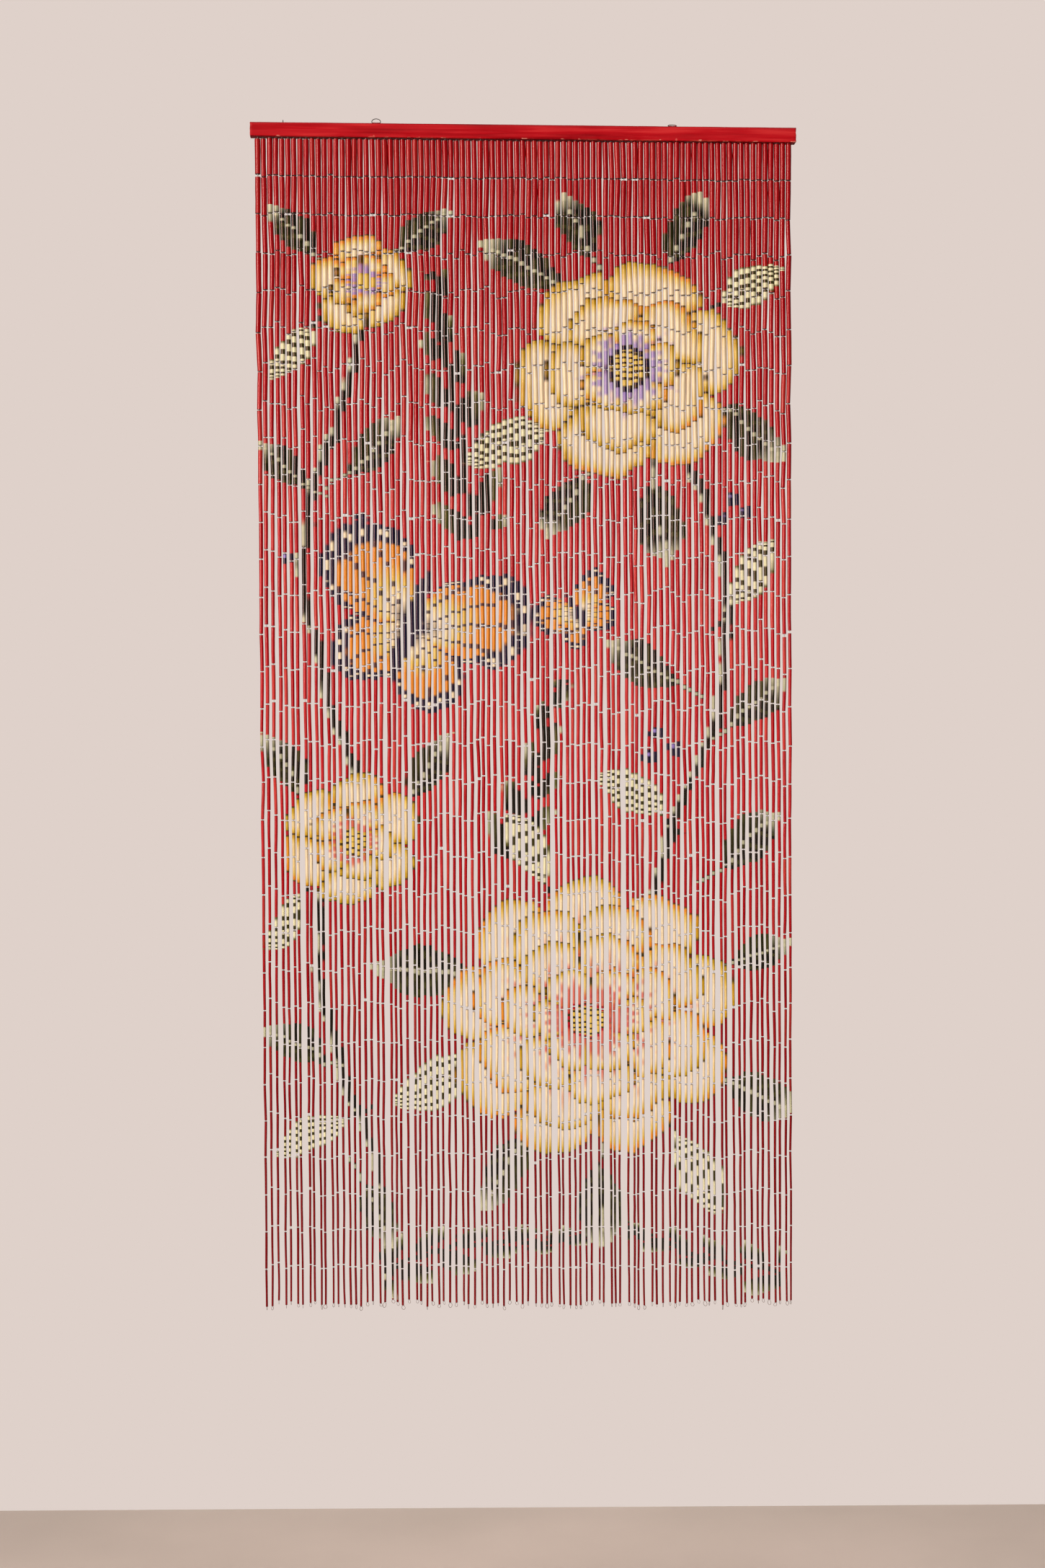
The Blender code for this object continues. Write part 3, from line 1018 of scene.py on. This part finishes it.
bamboo_paint = make_bamboo_paint()
for number in range(STRAND_COUNT // STRANDS_PER_BUNDLE):
    bundle = place_piece(make_bundle(number), bamboo_paint)
    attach(bundle, "root")
    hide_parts("strands")


# Link wires
# A length of iron wire runs through each tube and is bent into an eye at both ends. The eye
# of one tube hooks through the eye of the next, and the top eyes hook staples in the bar.
LINK_WIRE = 0.00023
EYE_HALF = 0.00074
EYE_LEG = 0.0034
EYE_LEAST_SIZE = 0.318
EYE_GROWTH = 226.0
LINK_SEED = 3000
STRANDS_PER_WIRE_PIECE = 30
LINK_TONES = (rgb(164, 150, 138), rgb(220, 210, 200), rgb(246, 240, 232))


def make_wire_iron(name, tones, roughest, smoothest):
    """Thin iron wire with its tarnish in clouds, from the dull tone to the bright one."""
    iron = Finish(name, (roughest + smoothest) / 2, 0.3)
    tarnish = iron.noise(iron.object_place(), (700.0, 700.0, 700.0))[0]
    iron.wear("Base Color", iron.ramp(tarnish, tuple(zip((0.3, 0.5, 0.7), tones))))
    iron.wear("Roughness", iron.fade(tarnish, 0.3, 0.7, roughest, smoothest))
    return iron.material


def hairpin_path():
    """Down one leg, round the bend, whose inside is at zero, and up the other leg."""
    path = [(EYE_HALF, EYE_LEG)]
    for step in range(5):
        turn = -math.pi * step / 4
        path.append((EYE_HALF * math.cos(turn), EYE_HALF * (1.0 + math.sin(turn)) - LINK_WIRE))
    return path + [(-EYE_HALF, EYE_LEG)]


def link_eyes(above, below, turn, size):
    """The matrices of the two eyes that hook each other halfway between two tube ends."""
    hook = Matrix.Translation((above + below) / 2) @ Matrix.Rotation(turn, 4, "Z")
    scale = Matrix.Diagonal((size, size, size, 1.0))
    crossed = Matrix.Rotation(math.pi / 2, 4, "Z") @ Matrix.Rotation(math.pi, 4, "X")
    return [hook @ scale, hook @ crossed @ scale]


def make_link_wires(number):
    placed = []
    first = number * STRANDS_PER_WIRE_PIECE
    for index in range(first, first + STRANDS_PER_WIRE_PIECE):
        draw = random.Random(LINK_SEED + index)
        above = strands[index].joints[0]
        for tube in cut_tubes[index]:
            size = EYE_LEAST_SIZE + EYE_GROWTH * tube["radius"]
            for place in link_eyes(above, tube["top"], draw.uniform(0.0, math.pi), size):
                placed.append((eye_shape, place))
            above = tube["bottom"]
    return lay_copies(f"link_wires_{number + 1}", placed)


eye_shape = bend_wire("eye_shape", hairpin_path(), LINK_WIRE, 4)
link_iron = make_wire_iron("link_wire_iron", LINK_TONES, 0.45, 0.3)
for number in range(STRAND_COUNT // STRANDS_PER_WIRE_PIECE):
    links = place_piece(make_link_wires(number), link_iron)
    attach(links, "root")
    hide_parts("strands")


# End loops
# Below the last tube of each strand its wire is bent into a loop, 5 mm wide, that keeps the
# tubes on. The loops are duller than the other wires, and hang turned and bent every way.
END_LOOP_HALF = 0.0025
END_LOOP_WIRE = 0.0003
END_LOOP_SHAPES = 5
END_SHAPE_SEED = 600
END_LOOP_SEED = 5000
END_LOOP_TONES = (rgb(84, 62, 52), rgb(126, 102, 90), rgb(178, 158, 144))


def end_loop_path(draw):
    """Out of the tube, round a drop-shaped loop and back to its own stem."""
    tall = draw.uniform(1.05, 1.5)
    askew = draw.uniform(-0.25, 0.25)
    path = [(0.0002, 0.0030), (0.0001, -0.0002)]
    for step in range(15):
        turn = math.radians(78.0 - 336.0 * step / 14)
        lift = 1.0 + math.sin(turn)
        x = END_LOOP_HALF * (math.cos(turn) + askew * (2.0 - lift) * 0.5)
        path.append((x, -0.0006 + END_LOOP_HALF * tall * (lift - 2.0)))
    return path


def make_end_loops():
    shapes = []
    for pick in range(END_LOOP_SHAPES):
        draw = random.Random(END_SHAPE_SEED + pick)
        shapes.append(bend_wire(f"end_loop_shape_{pick}", end_loop_path(draw), END_LOOP_WIRE, 5))
    placed = []
    for index in range(STRAND_COUNT):
        draw = random.Random(END_LOOP_SEED + index)
        size = draw.uniform(0.85, 1.2)
        place = (
            Matrix.Translation(cut_tubes[index][-1]["bottom"])
            @ Matrix.Rotation(draw.uniform(0.0, 2 * math.pi), 4, "Z")
            @ Matrix.Rotation(draw.gauss(0.0, 0.2), 4, "Y")
            @ Matrix.Diagonal((size * draw.uniform(0.8, 1.1), size, size, 1.0))
        )
        placed.append((draw.choice(shapes), place))
    return lay_copies("end_loops", placed)


end_loops = place_piece(
    make_end_loops(), make_wire_iron("dull_loop_iron", END_LOOP_TONES, 0.6, 0.4)
)
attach(end_loops, "root")
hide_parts("strands")


# Floor
# A plain pale floor in front of the blind. Its far edge meets the pale surround where the
# photograph shows the floor end.
FLOOR_DROP = 2.28
FLOOR_SIZE = 6.0
FLOOR_FAR_EDGE = -0.010
FLOOR_TURN = math.radians(-3.3)


def make_floor():
    shape = bmesh.new()
    lie = (
        Matrix.Translation((0.0, FLOOR_FAR_EDGE, -FLOOR_DROP))
        @ Matrix.Rotation(FLOOR_TURN, 4, "Z")
        @ Matrix.Translation((0.0, -FLOOR_SIZE / 2, 0.0))
    )
    bmesh.ops.create_grid(shape, x_segments=1, y_segments=1, size=FLOOR_SIZE / 2, matrix=lie)
    return to_mesh(shape, "floor")


def make_floor_finish():
    finish = Finish("pale_floor", 0.85)
    cloud = finish.noise(finish.object_place(), (3.0, 3.0, 3.0))[0]
    finish.wear("Base Color", finish.ramp(cloud, ((0.3, rgb(172, 155, 144)), (0.7, rgb(180, 162, 151)))))
    return finish.material


place_piece(make_floor(), make_floor_finish())


# Light and surround
# A large soft light stands far off at the front left, and models the tubes. Others hang above,
# for the blind, for the floor and for the blind's back. The even surround fills.
SURROUND = rgb(223, 209, 202)
FILL_STRENGTH = 0.10
SUN_WARM, PALE_WARM = (1.0, 0.975, 0.94), (1.0, 0.98, 0.95)

# Lights: name, spot, what it faces, width and height, power, colour, spread in degrees
LIGHTS = (
    ("side_light", (-6.7, -7.4, 1.2), (0.0, 0.0, -0.9), (4.4, 4.0), 880.0, SUN_WARM, 180.0),
    ("overhead_light", (0.0, -2.0, 1.3), (0.0, -1.9, -2.0), (3.0, 1.6), 26.0, PALE_WARM, 180.0),
    ("floor_light", (0.0, -0.85, 0.35), (0.0, -0.4, -2.28), (2.6, 0.4), 7.0, PALE_WARM, 55.0),
    ("back_light", (0.0, 3.2, 2.4), (0.0, 0.0, -1.0), (3.0, 2.0), 120.0, PALE_WARM, 180.0),
)


def hang_light(name, spot, aim, size, power, colour, spread):
    """A rectangular soft light at spot, facing aim."""
    data = bpy.data.lights.new(name, "AREA")
    data.shape = "RECTANGLE"
    data.size, data.size_y = size
    data.energy = power
    data.color = colour
    data.spread = math.radians(spread)
    light = bpy.data.objects.new(name, data)
    bpy.context.collection.objects.link(light)
    facing = (Vector(aim) - Vector(spot)).to_track_quat("-Z", "Y").to_matrix().to_4x4()
    light.matrix_world = Matrix.Translation(spot) @ facing


for light_row in LIGHTS:
    hang_light(*light_row)

world = bpy.data.worlds.new("pale_surround")
world.use_nodes = True
surround = world.node_tree.nodes["Background"]
surround.inputs["Color"].default_value = SURROUND
rays = world.node_tree.nodes.new("ShaderNodeLightPath")
strength = world.node_tree.nodes.new("ShaderNodeMapRange")
strength.inputs["To Min"].default_value = FILL_STRENGTH
world.node_tree.links.new(rays.outputs["Is Camera Ray"], strength.inputs["Value"])
world.node_tree.links.new(strength.outputs[0], surround.inputs["Strength"])
bpy.context.scene.world = world
bpy.context.scene.view_settings.view_transform = "Standard"
